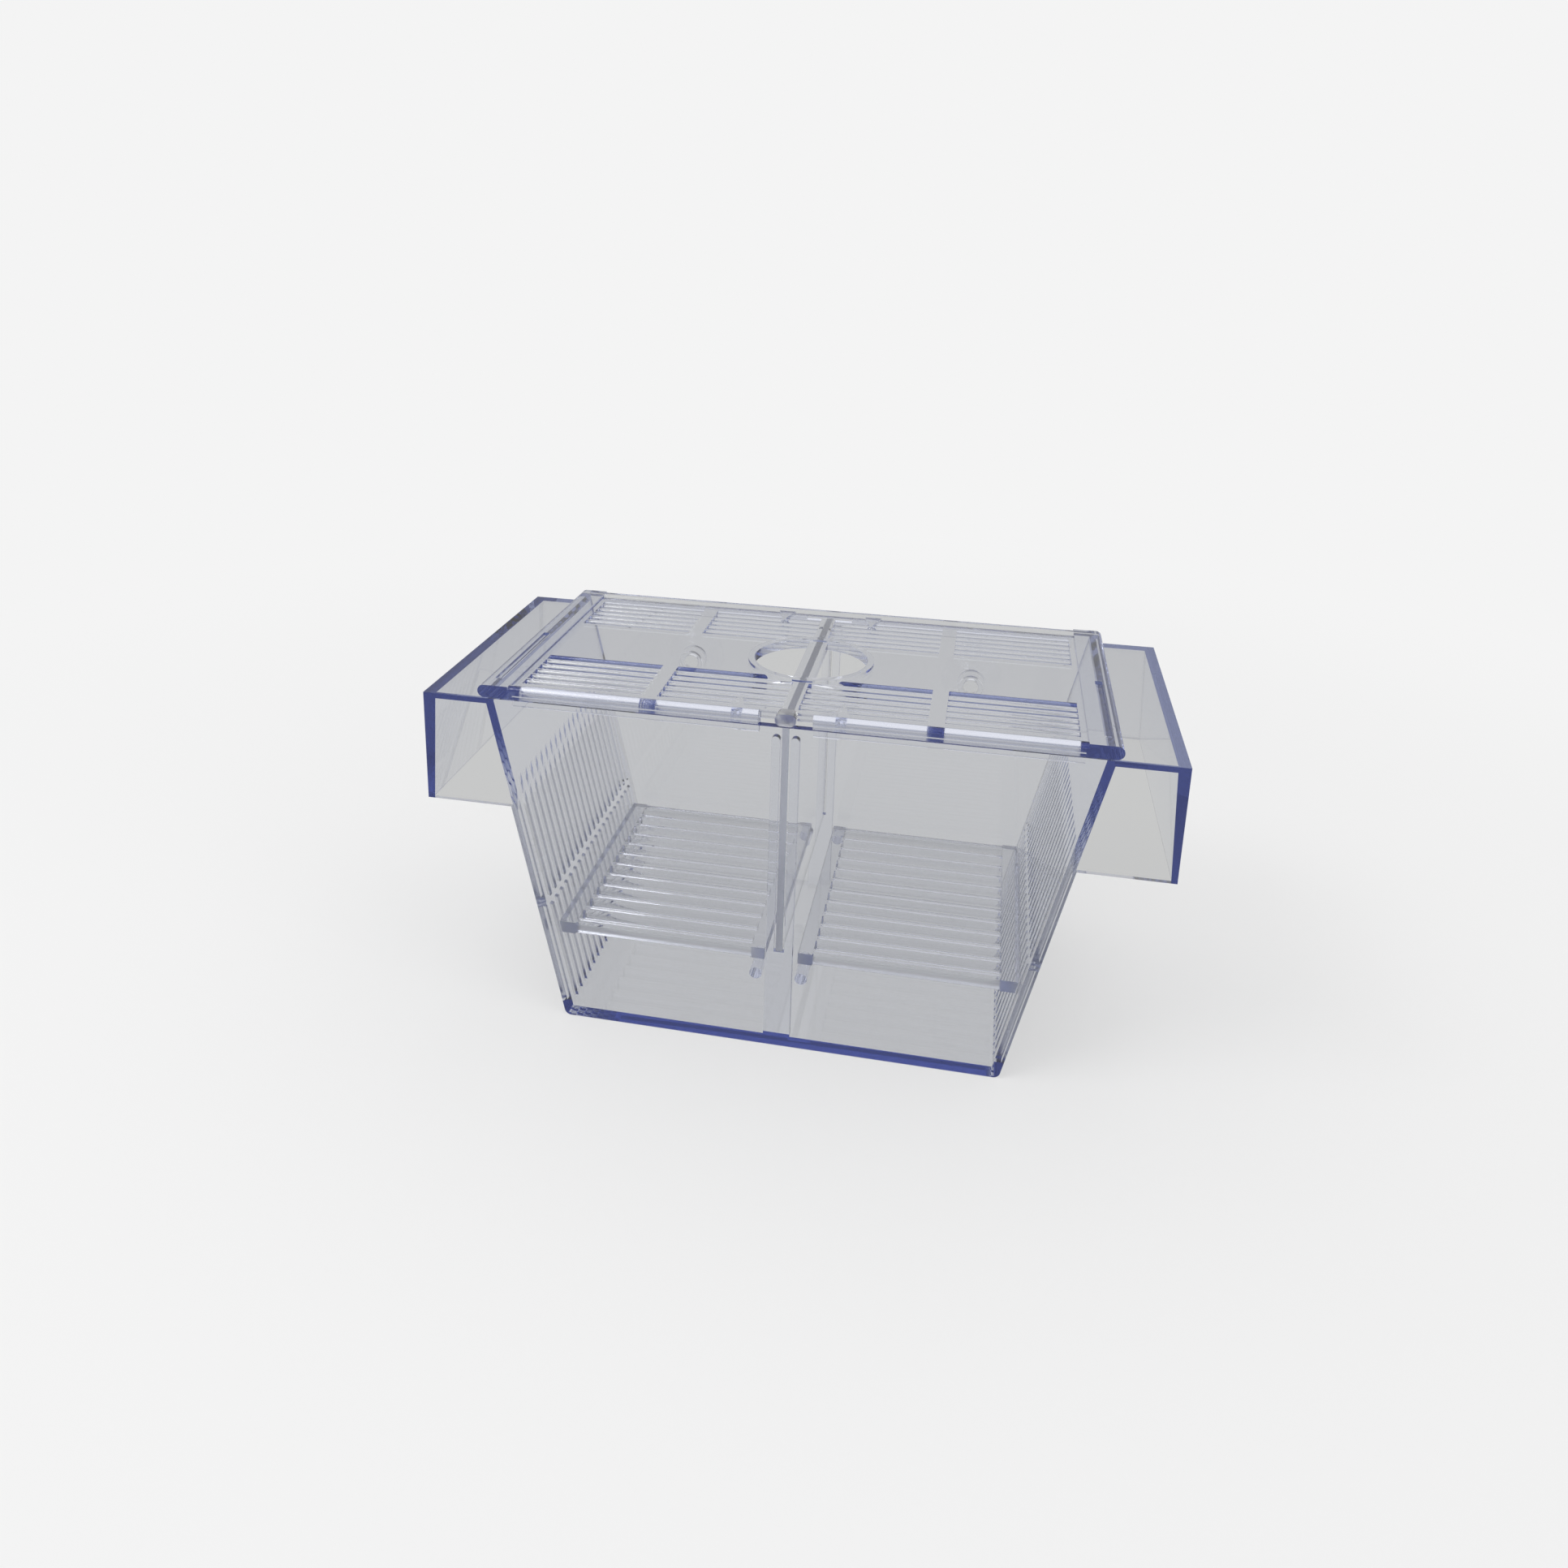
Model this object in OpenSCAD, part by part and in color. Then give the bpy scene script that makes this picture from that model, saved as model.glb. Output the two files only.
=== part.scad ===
// Floating fish breeding box: a clear moulded tank with a float wing on each side, a vented
// lift-off lid, a divider that slides in two guides, two lift-out bottom gratings and two
// suction cups that hold the box to the aquarium glass.
// Millimetres. X runs along the length, Y from front to back, Z up.
// The origin is the middle of the underside of the floor.

/* [Tank] */
// Overall length over the two float wings
overall_l = 210; // [200:1:230]
// Depth of the tank, front face to back face
tank_d = 94; // [90:1:110]
// Height of the tank, underside of the floor to the rim
tank_h = 100; // [95:1:120]
// Outer width of the tank at its rim
rim_w = 174; // [168:1:178]
// Outer width of the tank at its floor
floor_w = 128; // [120:1:136]
// Thickness of the front wall, the back wall and the floor
wall = 2.4; // [2:0.1:2.8]
// Thickness of the sloping side walls, measured along X
side_wall = 2.5; // [2.2:0.1:2.9]
// Radius of the two long bottom edges
edge_r = 2; // [1:0.1:2.3]

/* [Float wings] */
// Height of a wing, rim to its open underside
wing_h = 33; // [28:1:38]
// Thickness of the wing's top
wing_top = 2.2; // [1.6:0.1:3]
// Thickness of the wing's outer wall at the top
wing_wall_top = 3; // [2.4:0.1:4]
// Thickness of the wing's outer wall at its lower edge
wing_wall_low = 1.4; // [1:0.1:2]

/* [Side slits] */
// Number of slits in each side wall
slit_n = 20; // [12:1:21]
// Distance from one slit to the next
slit_pitch = 4.25; // [3.8:0.05:4.3]
// Width of one slit
slit_w = 1.6; // [1.2:0.1:2]
// Height of the solid band between the two rows of slits
slit_band_h = 2.8; // [2:0.1:5]
// Height of the middle of that band above the floor's underside
slit_band_z = 35; // [33:0.5:40]
// Height over which a slit runs out into a groove below the rim
slit_fade_h = 8; // [4:0.5:10]

/* [Guides] */
// Thickness of the divider
divider_t = 2; // [1.6:0.1:2.4]
// Play between the divider and a guide rib, each side
divider_play = 0.5; // [0.4:0.05:0.6]
// Width of one guide rib
rib_w = 2.4; // [2:0.1:3]
// How far the guide ribs stand out from the wall
rib_depth = 1.8; // [1.4:0.1:2.4]
// Depth of the rounded rib tops below the rim
rib_drop = 3.4; // [3:0.1:6]
// Height of the stop that the divider stands on
stop_z = 30; // [29:0.5:34]
// Height of the stop's solid crosspiece
stop_h = 2.4; // [2:0.1:3]

/* [Lid] */
// Thickness of the lid's plate
lid_t = 2.4; // [2:0.1:3]
// Height of the lid's raised edges, underside to top
lid_edge_h = 3.7; // [3.2:0.1:4.5]
// Width of the raised strips along the lid's two sides
lid_strip_w = 9; // [8:0.1:10]
// How far the lid reaches past the tank's rim on each side
lid_overhang = 1.4; // [0.8:0.1:2]
// Depth of the raised bars along the lid's front and back
lid_bar_d = 3.2; // [2.8:0.1:3.8]
// Half the length of the notch in the middle of the front bar
notch_half = 7.5; // [6:0.1:9]
// How deep the notch reaches in from the lid's edge
notch_d = 4.8; // [4.7:0.1:5]
// How far the locating skirts reach down inside the walls
skirt_h = 2.6; // [2:0.1:3]
// Thickness of the locating skirts
skirt_t = 1.8; // [1.4:0.1:2]
// Distance from a skirt's end to the raised side strip
skirt_inset = 0.4; // [0:0.1:3]
// Length of the locating tab at each end of a skirt beside the notch
tab_l = 7; // [4:0.1:12]
// How far a tab stands out in front of its skirt
tab_proud = 0.5; // [0.2:0.1:0.8]
// Length of the triangular gusset behind each bar, at the end of the tab
gusset_l = 10; // [3:0.1:12]
// Width of a gusset at the bar
gusset_w = 5.6; // [2:0.1:8]
// Height of a gusset above the plate
gusset_h = 0.6; // [0.4:0.1:1]
// Width of the groove in each side strip
groove_w = 2; // [1.2:0.1:2.4]
// Depth of that groove
groove_depth = 1; // [0.6:0.1:1.6]
// Distance from the lid's side edge to the groove
groove_inset = 3; // [2.4:0.1:4]

/* [Lid openings] */
// Length of one vent slot
vent_l = 35.4; // [30:0.1:36]
// Distance between two vent grids in X
vent_pitch_x = 40; // [39:0.1:40.5]
// Number of slots in one vent grid
vent_slots = 6; // [3:1:6]
// Distance from one slot to the next
vent_pitch = 4.2; // [3.8:0.1:4.3]
// Width of one vent slot
vent_w = 2; // [1.4:0.1:2.6]
// Radius of the rounded upper edges of a vent slot
vent_lip_r = 0.8; // [0.4:0.1:1]
// Distance from the lid's edge to the middle of the first slot
vent_edge = 8.6; // [8.2:0.1:9]
// Radius of the round feeding opening
feed_r = 17.2; // [12:0.1:18]
// Width of the raised lip around the feeding opening
feed_lip_w = 1.9; // [1.4:0.1:2.4]
// Height of that lip above the plate
feed_lip_h = 0.8; // [0.4:0.1:1.2]
// Width of the bridge that splits the feeding opening over the divider
bridge_w = 5.8; // [5:0.1:8]

/* [Divider] */
// Width of the divider's grip
grip_w = 5.8; // [5:0.1:7]
// Height of the divider's grip above the rim
grip_h = 3.8; // [3:0.1:3.9]

/* [Gratings] */
// Height of the gratings' top above the floor's underside
grating_z = 27.6; // [26.5:0.1:29]
// Thickness of the gratings' bars and frames
grating_t = 3.5; // [3:0.1:4]
// Number of bars in one grating, front and back frame bars included
bar_n = 12; // [8:1:14]
// Width of one bar
bar_w = 3.8; // [3:0.1:4.2]
// Radius of a bar's rounded edges
bar_edge_r = 0.9; // [0.5:0.1:1.2]
// Width of a grating's inner and outer frame
grating_frame_w = 4.2; // [4:0.1:6]
// Gap from the gratings to the front and back walls
grating_gap = 4.5; // [3:0.1:6]
// Distance from the middle of the box to a grating's inner edge
grating_inner_x = 4.9; // [4.8:0.1:5.4]
// Diameter of the pegs under the gratings' inner corners
peg_d = 3.6; // [3:0.1:4]
// Distance of a peg from the middle of the box
peg_x = 6.6; // [6.4:0.1:9]

/* [Suction cups] */
// Diameter of a suction cup's rim
cup_d = 20; // [16:0.5:24]
// Depth of a suction cup, from its rim to the tank's back wall
cup_depth = 7; // [6:0.5:9]
// Diameter of the cup's neck where it passes through the wall
neck_d = 5; // [4.5:0.1:6]
// Play of the neck in its hole, each side
neck_play = 0.1; // [0.05:0.05:0.1]
// Diameter of the cup's head inside the wall
head_d = 8; // [7.4:0.1:9]
// Distance of a cup from the middle of the box
cup_x = 48; // [40:1:60]
// Depth of the cups' axes below the rim
cup_drop = 20; // [18:1:28]

/* [Hidden] */

// Clearance between pieces that move against each other
clear = 0.3;
// Overshoot of a cut past the face that it opens
cut = 1;
// Least flat width left between two rounded vent slots
vent_flat = 0.2;
// Facets of a full circle
round_fn = 64;

half_d = tank_d / 2;
inner_d = tank_d - 2 * wall;
slope = (rim_w - floor_w) / 2 / tank_h;
slope_cos = cos(atan(slope));
slope_sin = sin(atan(slope));
wing_z = tank_h - wing_h;

// Outer and inner half widths of the tank at height z
function outer_x(z) = floor_w / 2 + slope * z;
function inner_x(z) = outer_x(z) - side_wall;

// Guides
channel_half = divider_t / 2 + divider_play;
pad_half = channel_half + rib_w;
rib_top_z = tank_h - rib_drop;

// Lid, from its underside
lid_z = tank_h + clear;
lid_half_w = rim_w / 2 + lid_overhang;
skirt_y = half_d - wall - clear - skirt_t;
plate_half_w = lid_half_w - lid_strip_w;
skirt_end_x = plate_half_w - skirt_inset;
vent_round = min(vent_lip_r, (vent_pitch - vent_w - vent_flat) / 2);

// Divider
divider_half_d = half_d - wall - clear;
divider_bottom = stop_z + clear / 3;
grip_half_d = half_d - clear / 2;
grip_neck_d = notch_d - 2 * clear;

// Gratings
grating_half_d = half_d - wall - grating_gap;
grating_bottom = grating_z - grating_t;
bar_pitch = (2 * grating_half_d - bar_w) / (bar_n - 1);
peg_z = grating_bottom - clear / 2 - peg_d / 2;
peg_l = grating_gap + bar_w;

// Suction cups
cup_z = tank_h - cup_drop;
neck_hole_d = neck_d + 2 * neck_play;
head_t = 2;
cup_wall = 1.2;
cup_rim = 0.8;
shoulder_d = 9;

// A shape drawn in X and Z, swept along Y between two depths
module sweep_y(y0, y1) {
    translate([0, y1, 0])
        rotate([90, 0, 0])
            linear_extrude(height = y1 - y0)
                children();
}

// A rod along Y
module rod_y(d, y0, y1) {
    translate([0, y0, 0])
        rotate([-90, 0, 0])
            cylinder(d = d, h = y1 - y0, $fn = round_fn);
}

module both_sides() {
    children();
    mirror([1, 0, 0])
        children();
}

module front_and_back() {
    children();
    mirror([0, 1, 0])
        children();
}

// Outline of the tank seen from the front, with rounded bottom edges
module tank_outline() {
    corner_x = outer_x(edge_r) - edge_r / slope_cos;
    both_sides()
        translate([corner_x, edge_r])
            circle(r = edge_r, $fn = round_fn);
    polygon([
        [-rim_w / 2, tank_h],
        [-corner_x - edge_r * slope_cos, edge_r - edge_r * slope_sin],
        [-corner_x, 0],
        [corner_x, 0],
        [corner_x + edge_r * slope_cos, edge_r - edge_r * slope_sin],
        [rim_w / 2, tank_h]
    ]);
}

module wing_outline() {
    polygon([
        [outer_x(wing_z) - side_wall / 2, wing_z],
        [overall_l / 2, wing_z],
        [overall_l / 2, tank_h],
        [rim_w / 2 - side_wall / 2, tank_h]
    ]);
}

// The air space of a wing, open at the bottom
module wing_cavity() {
    top_z = tank_h - wing_top;
    low_z = wing_z - cut;
    low_draft = (wing_wall_top - wing_wall_low) * (wing_h + cut) / wing_h;
    polygon([
        [outer_x(low_z), low_z],
        [overall_l / 2 - wing_wall_top + low_draft, low_z],
        [overall_l / 2 - wing_wall_top, top_z],
        [outer_x(top_z), top_z]
    ]);
}

module tank_cavity() {
    top_z = tank_h + cut;
    polygon([
        [-inner_x(wall), wall],
        [inner_x(wall), wall],
        [inner_x(top_z), top_z],
        [-inner_x(top_z), top_z]
    ]);
}

// Two rows of slits in the right side wall. The upper ones run out into grooves.
module side_slits() {
    low_z = wall + clear;
    band_low = slit_band_z - slit_band_h / 2;
    band_high = slit_band_z + slit_band_h / 2;
    fade_z = wing_z + slit_fade_h;
    start_x = inner_x(wall) - cut;
    for (i = [0 : slit_n - 1]) {
        slit_y = (i - (slit_n - 1) / 2) * slit_pitch - slit_w / 2;
        translate([start_x, slit_y, low_z])
            cube([outer_x(band_low) + cut - start_x, slit_w, band_low - low_z]);
        translate([start_x, slit_y, band_high])
            cube([inner_x(fade_z) - start_x, slit_w, fade_z - band_high]);
    }
}

// The divider's guide on the front wall: a foot, a stop and two ribs with rounded tops
module guide() {
    wall_y = -half_d + wall;
    rib_x = channel_half + rib_w / 2;
    sweep_y(wall_y - clear, wall_y + rib_depth) {
        translate([-pad_half, wall - clear])
            square([2 * pad_half, stop_z - wall + clear]);
        both_sides()
            translate([channel_half, stop_z - stop_h])
                square([rib_w, rib_top_z - rib_w / 2 - stop_z + stop_h]);
        both_sides()
            translate([rib_x, rib_top_z - rib_w / 2])
                circle(d = rib_w, $fn = round_fn);
    }
}

// The pegs on the front wall that carry the gratings' inner corners
module pegs() {
    wall_y = -half_d + wall;
    both_sides()
        translate([peg_x, 0, peg_z])
            rod_y(peg_d, wall_y - clear, wall_y + peg_l);
}

module tank() {
    color([0.80, 0.83, 0.93, 0.4])
        difference() {
            union() {
                difference() {
                    sweep_y(-half_d, half_d) {
                        tank_outline();
                        both_sides()
                            wing_outline();
                    }
                    sweep_y(-half_d + wall, half_d - wall) {
                        tank_cavity();
                        both_sides()
                            wing_cavity();
                    }
                    both_sides()
                        side_slits();
                }
                front_and_back() {
                    guide();
                    pegs();
                }
            }
            both_sides()
                translate([cup_x, 0, cup_z])
                    rod_y(neck_hole_d, half_d - wall - cut, half_d + cut);
        }
}

// A vent slot's cross-section, its upper edges rounded off into the plate
module vent_outline() {
    lip_y = vent_w / 2 + vent_round;
    lip_z = lid_t - vent_round;
    translate([-vent_w / 2, -cut])
        square([vent_w, lid_t + 2 * cut]);
    difference() {
        translate([-lip_y, lip_z])
            square([2 * lip_y, vent_round + cut]);
        for (side = [-1, 1])
            translate([side * lip_y, lip_z])
                circle(r = vent_round, $fn = round_fn);
    }
}

// One grid of vent slots, its first slot nearest to the lid's front edge
module vent_grid(mid_x) {
    for (i = [0 : vent_slots - 1])
        translate([mid_x - vent_l / 2, -half_d + vent_edge + i * vent_pitch, 0])
            rotate([90, 0, 90])
                linear_extrude(height = vent_l)
                    vent_outline();
}

// The raised strip along the lid's right side, its outer edge rounded over the rim
module lid_strip() {
    lip_r = lid_edge_h / 2;
    translate([lid_half_w - lid_strip_w, -half_d, 0])
        cube([lid_strip_w - lip_r, tank_d, lid_edge_h]);
    translate([lid_half_w - lip_r, 0, lip_r])
        rod_y(2 * lip_r, -half_d, half_d);
}

// A stretch of the bar along the lid's front edge, its top rounded
module lid_bar(from_x, to_x) {
    bar_r = lid_bar_d / 2;
    translate([from_x, -half_d, 0])
        cube([to_x - from_x, lid_bar_d, lid_edge_h - bar_r]);
    translate([from_x, -half_d + bar_r, lid_edge_h - bar_r])
        rotate([0, 90, 0])
            cylinder(r = bar_r, h = to_x - from_x, $fn = round_fn);
}

// Half of the locating skirt inside the front wall
module lid_skirt() {
    translate([notch_half, -skirt_y - skirt_t + tab_proud, -skirt_h - clear])
        cube([skirt_end_x - notch_half, skirt_t - tab_proud, skirt_h + clear + lid_t / 2]);
    translate([notch_half, -skirt_y - skirt_t, -skirt_h - clear])
        cube([tab_l, skirt_t, skirt_h + clear + lid_t / 2]);
}

// The gussets that stiffen the plate behind the bars and interrupt the first vent slots
module gussets(low, high) {
    front_and_back()
        both_sides()
            translate([notch_half + tab_l, -half_d + lid_bar_d, low])
                linear_extrude(height = high - low)
                    polygon([[-gusset_w / 2, -clear], [gusset_w / 2, -clear], [0, gusset_l]]);
}

// A groove in the front half of a side strip
module strip_groove() {
    groove_x = lid_half_w - groove_inset - groove_w;
    translate([groove_x, -half_d + 2 * lid_bar_d, lid_edge_h - groove_depth])
        cube([groove_w, half_d - 2 * lid_bar_d, groove_depth + cut]);
}

module lid() {
    color([0.84, 0.87, 0.95, 0.4])
        translate([0, 0, lid_z])
            difference() {
                union() {
                    translate([-plate_half_w - cut, -half_d, 0])
                        cube([2 * (plate_half_w + cut), tank_d, lid_t]);
                    both_sides()
                        lid_strip();
                    both_sides()
                        lid_bar(notch_half, plate_half_w);
                    mirror([0, 1, 0])
                        lid_bar(-plate_half_w, plate_half_w);
                    front_and_back()
                        both_sides()
                            lid_skirt();
                    gussets(0, lid_t + gusset_h);
                    cylinder(r = feed_r + feed_lip_w, h = lid_t + feed_lip_h, $fn = 2 * round_fn);
                }
                difference() {
                    translate([0, 0, -cut])
                        cylinder(r = feed_r, h = lid_edge_h + 2 * cut, $fn = 2 * round_fn);
                    translate([-bridge_w / 2, -half_d, 0])
                        cube([bridge_w, tank_d, lid_t]);
                }
                difference() {
                    front_and_back()
                        both_sides() {
                            vent_grid(vent_pitch_x / 2);
                            vent_grid(vent_pitch_x * 3 / 2);
                        }
                    translate([0, 0, -2 * cut])
                        cylinder(r = feed_r + feed_lip_w + clear, h = lid_edge_h + 4 * cut,
                                 $fn = 2 * round_fn);
                    gussets(-2 * cut, lid_edge_h + 2 * cut);
                }
                translate([-notch_half, -half_d - cut, -cut])
                    cube([2 * notch_half, notch_d + cut, lid_edge_h + 2 * cut]);
                both_sides()
                    strip_groove();
            }
}

// The grip's rounded outline, seen from the front
module grip_outline() {
    r = 1.6;
    low = tank_h + clear;
    high = tank_h + grip_h;
    both_sides() {
        translate([grip_w / 2 - r, low + r])
            circle(r = r, $fn = round_fn);
        translate([grip_w / 2 - r, high - r])
            circle(r = r, $fn = round_fn);
    }
    translate([-grip_w / 2, low + r])
        square([grip_w, high - low - 2 * r]);
    translate([-grip_w / 2 + r, low])
        square([grip_w - 2 * r, high - low]);
}

module divider() {
    neck_y = -half_d + grip_neck_d;
    color([0.74, 0.78, 0.92, 0.5]) {
        translate([-divider_t / 2, -divider_half_d, divider_bottom])
            cube([divider_t, 2 * divider_half_d, tank_h - divider_bottom]);
        translate([-divider_t / 2, -divider_half_d, tank_h - cut])
            cube([divider_t, divider_half_d + neck_y, cut + grip_h / 2]);
        sweep_y(-grip_half_d, neck_y)
            grip_outline();
    }
}

// A bar's cross-section with rounded edges, its lower left corner at the origin
module bar_outline() {
    for (y = [bar_edge_r, bar_w - bar_edge_r])
        for (z = [bar_edge_r, grating_t - bar_edge_r])
            translate([y, z])
                circle(r = bar_edge_r, $fn = round_fn);
    translate([0, bar_edge_r])
        square([bar_w, grating_t - 2 * bar_edge_r]);
    translate([bar_edge_r, 0])
        square([bar_w - 2 * bar_edge_r, grating_t]);
}

// The right-hand grating: rounded bars along X between an inner frame and a sloping outer frame
module grating() {
    outer_low = inner_x(grating_bottom) - clear / slope_cos;
    outer_high = inner_x(grating_z) - clear / slope_cos;
    bars_x = grating_inner_x + grating_frame_w / 2;
    sweep_y(-grating_half_d, grating_half_d) {
        translate([grating_inner_x, grating_bottom])
            square([grating_frame_w, grating_t]);
        polygon([
            [outer_low - grating_frame_w, grating_bottom],
            [outer_low, grating_bottom],
            [outer_high, grating_z],
            [outer_low - grating_frame_w, grating_z]
        ]);
    }
    for (i = [0 : bar_n - 1])
        translate([bars_x, -grating_half_d + i * bar_pitch, grating_bottom])
            rotate([90, 0, 90])
                linear_extrude(height = outer_low - grating_frame_w / 2 - bars_x)
                    bar_outline();
}

module grating_right() {
    color([0.82, 0.85, 0.94, 0.5])
        grating();
}

module grating_left() {
    color([0.82, 0.85, 0.94, 0.5])
        mirror([1, 0, 0])
            grating();
}

// A suction cup with its neck in the back wall, its open side facing backwards
module suction_cup() {
    head_y = half_d - wall - clear;
    back_y = half_d + clear;
    rim_y = half_d + cup_depth;
    bell_y = back_y + 2 * cup_wall;
    color([0.88, 0.90, 0.92, 0.6])
        translate([0, 0, cup_z]) {
            rod_y(head_d, head_y - head_t, head_y);
            rod_y(neck_d, head_y - clear, back_y + clear);
            rod_y(shoulder_d, back_y, bell_y);
            translate([0, bell_y, 0])
                rotate([-90, 0, 0])
                    difference() {
                        cylinder(d1 = shoulder_d, d2 = cup_d, h = rim_y - bell_y, $fn = round_fn);
                        translate([0, 0, cup_wall])
                            cylinder(d1 = shoulder_d - 2 * cup_wall, d2 = cup_d - 2 * cup_rim,
                                     h = rim_y - bell_y - cup_wall, $fn = round_fn);
                    }
        }
}

module suction_cup_right() {
    translate([cup_x, 0, 0])
        suction_cup();
}

module suction_cup_left() {
    translate([-cup_x, 0, 0])
        suction_cup();
}

tank();
lid();
divider();
grating_left();
grating_right();
suction_cup_left();
suction_cup_right();
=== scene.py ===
import math

import bpy
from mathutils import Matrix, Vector

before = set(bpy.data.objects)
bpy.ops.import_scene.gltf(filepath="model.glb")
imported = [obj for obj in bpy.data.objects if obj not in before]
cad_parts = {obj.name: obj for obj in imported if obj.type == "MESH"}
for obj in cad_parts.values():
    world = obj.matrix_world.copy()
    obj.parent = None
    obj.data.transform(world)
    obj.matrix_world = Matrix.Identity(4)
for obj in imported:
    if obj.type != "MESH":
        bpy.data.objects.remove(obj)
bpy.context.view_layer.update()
scene = bpy.context.scene

# ---------------------------------------------------------------- light levels
PAPER = 0.905       # the pale ground that the camera sees round the object
BACKDROP = 0.58     # the grey studio that is seen through the plastic and in its gloss
WARMTH = 0.02       # how far the floor's share of that grey leans towards yellow
FLOOR_PAINT = 0.86
CEILING = 0.95
# brightness of the studio by the height that a ray climbs to, 0 level and 1 straight up
ROOM = ((0.08, BACKDROP), (0.2, 0.44), (0.45, 0.5), (0.62, CEILING))

FLOOR_SIZE = 12
FLOOR_GAP = 0.0002               # keeps the floor just under the box
FADE_FROM, FADE_TO = 0.12, 0.55  # where the painted floor turns into the pale ground
FADE_LEAST = 0.5                 # share of the pale ground in the floor under the box
THROUGH_STUDIO = 0.9             # share of the studio grey in a floor seen through the plastic

# each lamp's place, its two sides and its power in watts
LAMPS = {
    "key": ((-0.6, -0.5, 0.9), (0.6, 0.4), 3),
    "fill": ((0.9, -0.5, 0.6), (0.5, 0.5), 1),
}
LAMP_AIM = Vector((0, 0, 0.05))  # the middle of the box

# ---------------------------------------------------------------- plastics
POLYSTYRENE, VINYL = 1.52, 1.42   # refractive indices
VIOLET = (0.0, 0.12, 0.6)         # what a long way through the clear plastic leaves
WATER_WHITE = (0.55, 0.62, 0.7)   # the same for the suction cups
WAVE_DEPTH = 0.001
WAVE, GRATING_WAVE = 0.008, 0.01  # strength of the dips and swells on the surface
WAVE_DETAIL = 2
HAZE_LEAST, HAZE_MOST = 0.5, 1.8  # range of the roughness, as shares of its named value
MOULDED = {"roughness": 0.01, "ior": POLYSTYRENE, "scale": 35}
SOFT = {"roughness": 0.05, "ior": VINYL, "scale": 120, "strength": 0.1}
GRATING_CLEAR = 0.86              # share of the light that each face of a grating lets in

# how fast each plastic darkens with depth
BODY_DENSITY = 28
DIVIDER_DENSITY = 2.5
GRATING_DENSITY = 12
CUP_DENSITY = 6

# roughness of the parts that are less polished
SLIT_FROST = 0.25
BAR_FROST = 0.16
DIVIDER_FROST = 0.45
GRATING_FROST = 0.3

# where some of those parts are: the least and most distance from the middle in X and in Y,
# and the least and most height
SLITS = ((0.058, 0.09), (0, 0.0435), (0.0035, 0.0655))
LID_BARS = ((0, 0.0795), (0.0437, 0.05), (0.1, 0.11))
GRATING_ENDS = ((0, 0.09), (0.04, 0.05), (0.02, 0.03))
EDGE = 0.0001                     # a region's lower limits reach this far out
FACING = 0.5                      # a face looks along X when its normal's X is over this

# ---------------------------------------------------------------- camera
CAMERA_PLACE = (0.0493, -0.3624, 0.23731)
CAMERA_TURN = (73.805, -0.993, 11.961)  # degrees
LENS, SENSOR = 29.27, 36                # millimetres
SHIFT = (0.0342, -0.1377)
NEAREST = 0.01                          # metres from the camera where its view starts
BOUNCES = 40                            # light passes through many walls of clear plastic


def grey(value, warmth=0.0):
    return (value * (1 + warmth), value * (1 + warmth), value * (1 - warmth), 1)


# ---------------------------------------------------------------- node helpers
def new_tree(owner):
    owner.use_nodes = True
    tree = owner.node_tree
    tree.nodes.clear()
    return tree


def add(tree, kind, **values):
    """Add a node and set its sockets by name."""
    node = tree.nodes.new(kind)
    for socket, value in values.items():
        node.inputs[socket.replace("_", " ")].default_value = value
    return node


def feed(tree, socket, value):
    """Give a socket a number, or the output of another node."""
    if isinstance(value, (int, float)):
        socket.default_value = value
    else:
        tree.links.new(value, socket)


def math_node(tree, operation, first, second=0):
    node = tree.nodes.new("ShaderNodeMath")
    node.operation = operation
    feed(tree, node.inputs[0], first)
    feed(tree, node.inputs[1], second)
    return node.outputs[0]


def mixed(tree, factor, shader_0, shader_1):
    mix = tree.nodes.new("ShaderNodeMixShader")
    feed(tree, mix.inputs["Fac"], factor)
    feed(tree, mix.inputs[1], shader_0)
    feed(tree, mix.inputs[2], shader_1)
    return mix.outputs[0]


# ---------------------------------------------------------------- clear plastic
def wavy_normal(tree, scale, strength):
    """Surface that dips and swells a little, as a moulding does."""
    coord = tree.nodes.new("ShaderNodeTexCoord")
    wave = add(tree, "ShaderNodeTexNoise", Scale=scale, Detail=WAVE_DETAIL)
    bump = add(tree, "ShaderNodeBump", Strength=strength, Distance=WAVE_DEPTH)
    tree.links.new(coord.outputs["Object"], wave.inputs["Vector"])
    tree.links.new(wave.outputs["Fac"], bump.inputs["Height"])
    return wave, bump


def clear_plastic(name, density, depth_color, roughness, ior, scale, strength, clear=1.0):
    """Clear moulded plastic: it bends light, is a little uneven, and darkens with depth."""
    mat = bpy.data.materials.new(name)
    tree = new_tree(mat)
    out = tree.nodes.new("ShaderNodeOutputMaterial")
    shader = add(tree, "ShaderNodeBsdfPrincipled",
                 Base_Color=grey(clear), IOR=ior, Transmission_Weight=1)
    wave, bump = wavy_normal(tree, scale, strength)
    haze = add(tree, "ShaderNodeMapRange",
               To_Min=roughness * HAZE_LEAST, To_Max=roughness * HAZE_MOST)
    depth = add(tree, "ShaderNodeVolumeAbsorption", Color=(*depth_color, 1), Density=density)
    tree.links.new(wave.outputs["Fac"], haze.inputs["Value"])
    tree.links.new(haze.outputs["Result"], shader.inputs["Roughness"])
    tree.links.new(bump.outputs["Normal"], shader.inputs["Normal"])
    tree.links.new(shader.outputs["BSDF"], out.inputs["Surface"])
    tree.links.new(depth.outputs["Volume"], out.inputs["Volume"])
    return mat


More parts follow.
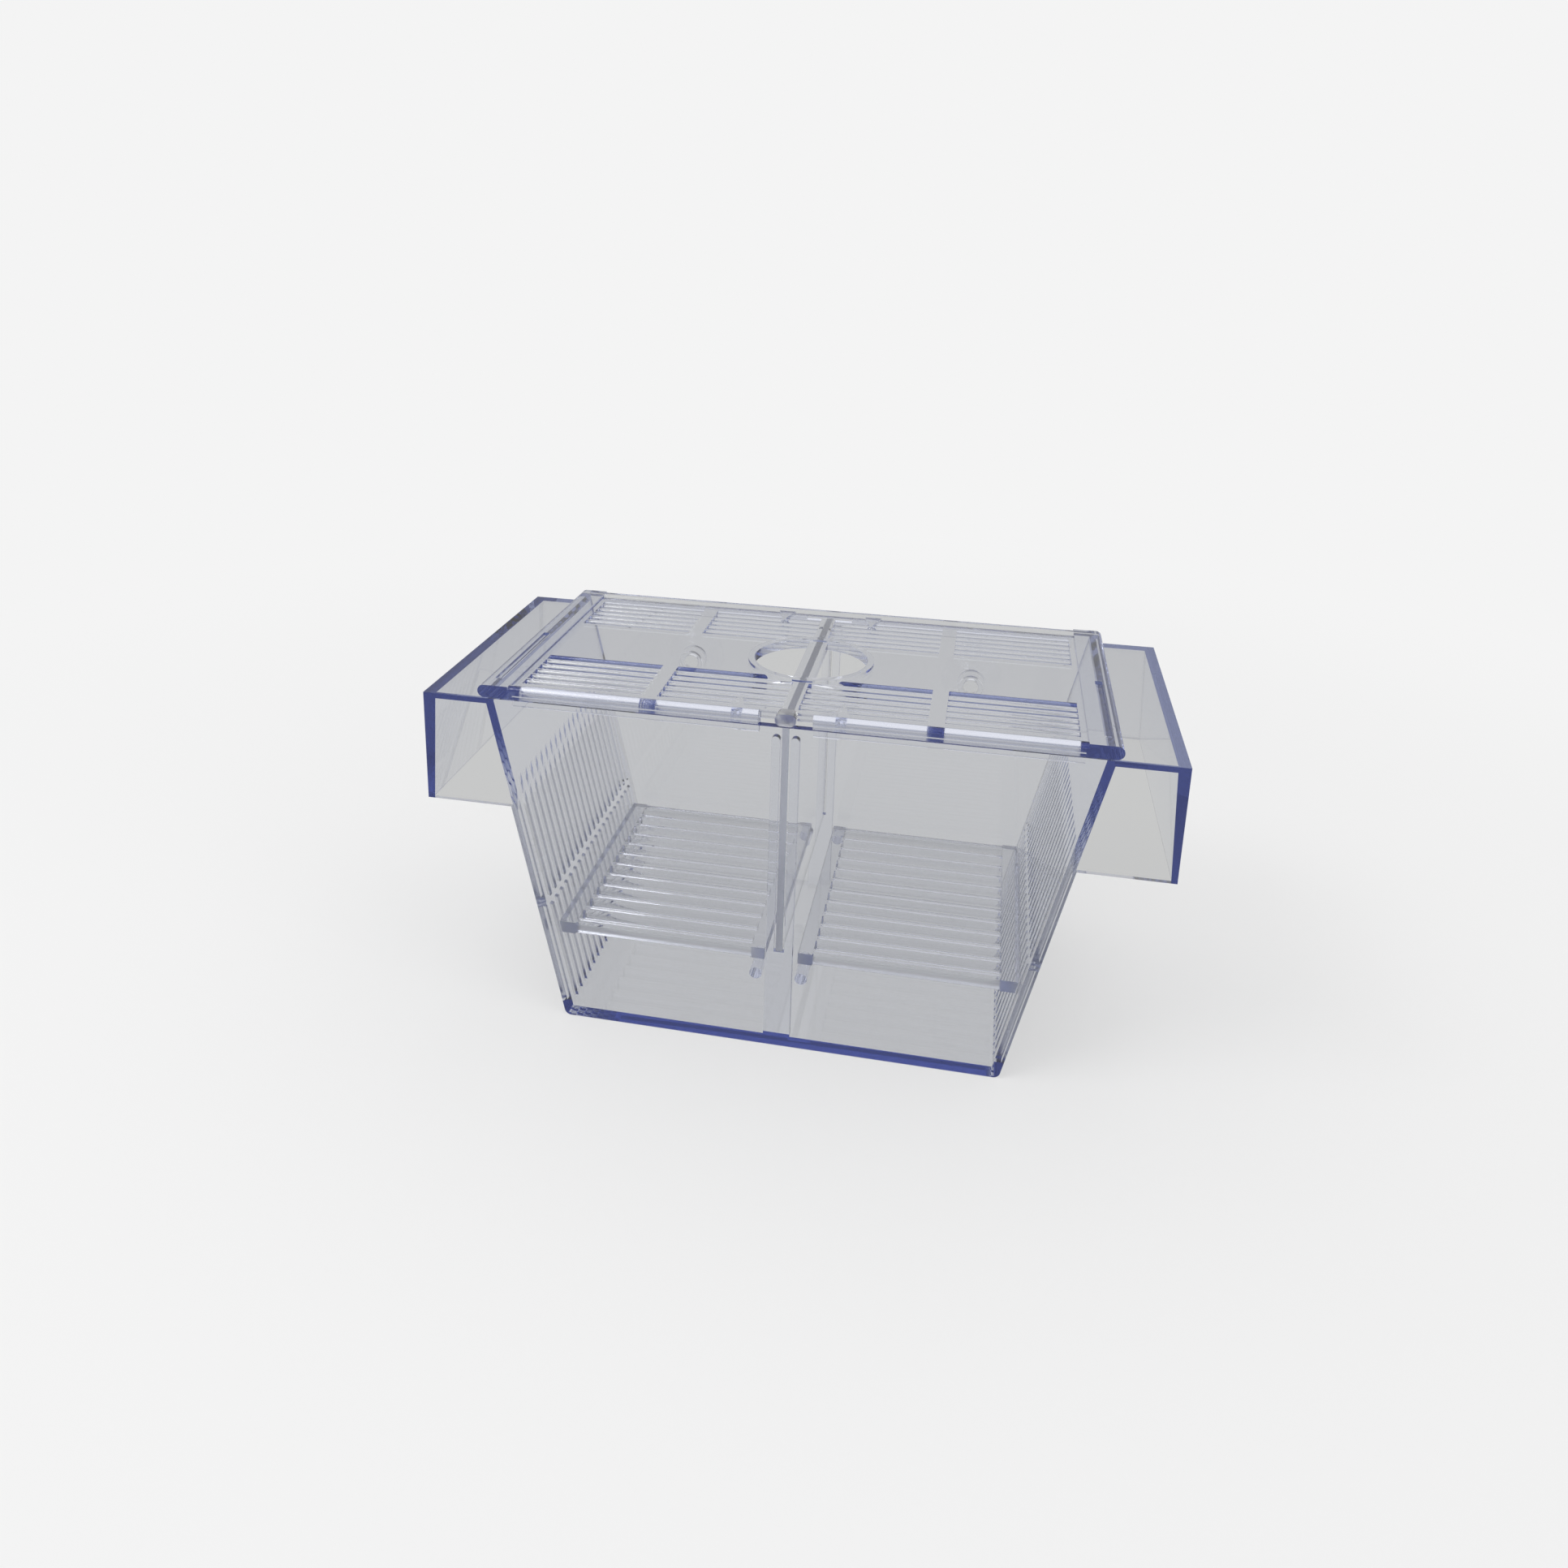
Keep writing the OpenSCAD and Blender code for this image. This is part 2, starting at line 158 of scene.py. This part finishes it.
def frost(mat, mask, roughness):
    """Where the mask is 1 the plastic is less polished than elsewhere."""
    tree = mat.node_tree
    shader = next(node for node in tree.nodes if node.type == "BSDF_PRINCIPLED")
    polish = shader.inputs["Roughness"].links[0].from_socket
    choose = add(tree, "ShaderNodeMix", B=roughness)
    tree.links.new(mask, choose.inputs["Factor"])
    tree.links.new(polish, choose.inputs["A"])
    tree.links.new(choose.outputs["Result"], shader.inputs["Roughness"])


def split(tree, vector):
    """The sizes of a vector's three parts, without their signs."""
    parts = tree.nodes.new("ShaderNodeSeparateXYZ")
    tree.links.new(vector, parts.inputs[0])
    return [math_node(tree, "ABSOLUTE", part) for part in parts.outputs]


def faces_along_x(mat, along):
    """1 on the faces that look along X, or on all the others."""
    tree = mat.node_tree
    geometry = tree.nodes.new("ShaderNodeNewGeometry")
    reach = split(tree, geometry.outputs["True Normal"])[0]
    return math_node(tree, "GREATER_THAN" if along else "LESS_THAN", reach, FACING)


def within(mat, region):
    """1 inside a region on both sides of the middle, 0 outside it."""
    tree = mat.node_tree
    coord = tree.nodes.new("ShaderNodeTexCoord")
    mask = 1
    for part, (least, most) in zip(split(tree, coord.outputs["Object"]), region):
        above = math_node(tree, "GREATER_THAN", part, least - EDGE)
        below = math_node(tree, "LESS_THAN", part, most)
        mask = math_node(tree, "MULTIPLY", above, mask)
        mask = math_node(tree, "MULTIPLY", mask, below)
    return mask


def both(mat, first, second):
    """1 where both masks are 1."""
    return math_node(mat.node_tree, "MULTIPLY", first, second)


def dress(node, mat):
    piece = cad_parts[node]
    piece.data.materials.clear()
    piece.data.materials.append(mat)


tank_plastic = clear_plastic("tank_plastic", BODY_DENSITY, VIOLET, strength=WAVE, **MOULDED)
slit_walls = both(tank_plastic, faces_along_x(tank_plastic, False), within(tank_plastic, SLITS))
frost(tank_plastic, slit_walls, SLIT_FROST)

lid_plastic = clear_plastic("lid_plastic", BODY_DENSITY, VIOLET, strength=WAVE, **MOULDED)
frost(lid_plastic, within(lid_plastic, LID_BARS), BAR_FROST)

divider_plastic = clear_plastic("divider_plastic", DIVIDER_DENSITY, VIOLET,
                                strength=WAVE, **MOULDED)
frost(divider_plastic, faces_along_x(divider_plastic, False), DIVIDER_FROST)

grating_plastic = clear_plastic("grating_plastic", GRATING_DENSITY, VIOLET,
                                strength=GRATING_WAVE, clear=GRATING_CLEAR, **MOULDED)
frost(grating_plastic, faces_along_x(grating_plastic, True), GRATING_FROST)
frost(grating_plastic, within(grating_plastic, GRATING_ENDS), GRATING_FROST)

soft_plastic = clear_plastic("soft_plastic", CUP_DENSITY, WATER_WHITE, **SOFT)

dress("tank", tank_plastic)
dress("lid", lid_plastic)
dress("divider", divider_plastic)
for grating in ("grating_left", "grating_right"):
    dress(grating, grating_plastic)
for cup in ("suction_cup_left", "suction_cup_right"):
    dress(cup, soft_plastic)


# ---------------------------------------------------------------- studio
def ray_is(tree, *kinds):
    """1 for a ray of any of these kinds, else 0."""
    path = tree.nodes.new("ShaderNodeLightPath")
    result = path.outputs[kinds[0]]
    for kind in kinds[1:]:
        result = math_node(tree, "MAXIMUM", result, path.outputs[kind])
    return result


def studio_floor():
    """Pale floor that keeps the object's shadow and fades into the pale ground."""
    bpy.ops.mesh.primitive_plane_add(size=FLOOR_SIZE, location=(0, 0, -FLOOR_GAP))
    floor = bpy.context.object
    floor.name = "floor"
    mat = bpy.data.materials.new("floor")
    tree = new_tree(mat)
    out = tree.nodes.new("ShaderNodeOutputMaterial")
    paint = add(tree, "ShaderNodeBsdfDiffuse", Color=grey(FLOOR_PAINT)).outputs[0]
    paper = add(tree, "ShaderNodeEmission", Color=grey(PAPER)).outputs[0]
    studio = add(tree, "ShaderNodeEmission", Color=grey(BACKDROP, WARMTH)).outputs[0]
    # near the object the paint shows its shadow, far away only the pale ground is left
    coord = tree.nodes.new("ShaderNodeTexCoord")
    reach = tree.nodes.new("ShaderNodeVectorMath")
    reach.operation = "LENGTH"
    fade = add(tree, "ShaderNodeMapRange",
               From_Min=FADE_FROM, From_Max=FADE_TO, To_Min=FADE_LEAST)
    fade.interpolation_type = "SMOOTHSTEP"
    tree.links.new(coord.outputs["Object"], reach.inputs[0])
    tree.links.new(reach.outputs["Value"], fade.inputs["Value"])
    near_far = mixed(tree, fade.outputs["Result"], paint, paper)
    through = mixed(tree, THROUGH_STUDIO, paint, studio)
    shown = mixed(tree, ray_is(tree, "Is Camera Ray"), paint, near_far)
    shown = mixed(tree, ray_is(tree, "Is Transmission Ray", "Is Glossy Ray"), shown, through)
    tree.links.new(shown, out.inputs["Surface"])
    floor.data.materials.append(mat)


def studio_world():
    """A bright ceiling over darker walls, for clear plastic to bend and mirror."""
    world = bpy.data.worlds.new("studio")
    scene.world = world
    tree = new_tree(world)
    out = tree.nodes.new("ShaderNodeOutputWorld")
    coord = tree.nodes.new("ShaderNodeTexCoord")
    height = tree.nodes.new("ShaderNodeSeparateXYZ")
    room = tree.nodes.new("ShaderNodeValToRGB")
    for place, level in ROOM:
        stop = room.color_ramp.elements.new(place)
        stop.color = grey(level)
    room.color_ramp.elements[0].color = grey(BACKDROP)
    room.color_ramp.elements[-1].color = grey(CEILING)
    studio = tree.nodes.new("ShaderNodeBackground")
    paper = add(tree, "ShaderNodeBackground", Color=grey(PAPER)).outputs[0]
    tree.links.new(coord.outputs["Generated"], height.inputs[0])
    tree.links.new(height.outputs["Z"], room.inputs["Fac"])
    tree.links.new(room.outputs["Color"], studio.inputs["Color"])
    shown = mixed(tree, ray_is(tree, "Is Camera Ray"), studio.outputs[0], paper)
    tree.links.new(shown, out.inputs["Surface"])


def softbox(name, place, sides, power):
    """Soft lamp that looks at the middle of the object."""
    data = bpy.data.lights.new(name, "AREA")
    data.shape = "RECTANGLE"
    data.size, data.size_y = sides
    data.energy = power
    lamp = bpy.data.objects.new(name, data)
    scene.collection.objects.link(lamp)
    lamp.location = place
    aim = LAMP_AIM - lamp.location
    lamp.rotation_euler = aim.to_track_quat("-Z", "Y").to_euler()


def fitted_camera():
    """Camera fitted to the corners of the box in the photograph."""
    data = bpy.data.cameras.new("camera")
    camera = bpy.data.objects.new("camera", data)
    scene.collection.objects.link(camera)
    scene.camera = camera
    camera.location = CAMERA_PLACE
    camera.rotation_euler = [math.radians(angle) for angle in CAMERA_TURN]
    data.sensor_width = SENSOR
    data.lens = LENS
    data.shift_x, data.shift_y = SHIFT
    data.clip_start = NEAREST


studio_floor()
studio_world()
for name, (place, sides, power) in LAMPS.items():
    softbox(name, place, sides, power)
fitted_camera()

scene.view_settings.view_transform = "Standard"
scene.cycles.max_bounces = BOUNCES
scene.cycles.transmission_bounces = BOUNCES
scene.cycles.glossy_bounces = BOUNCES
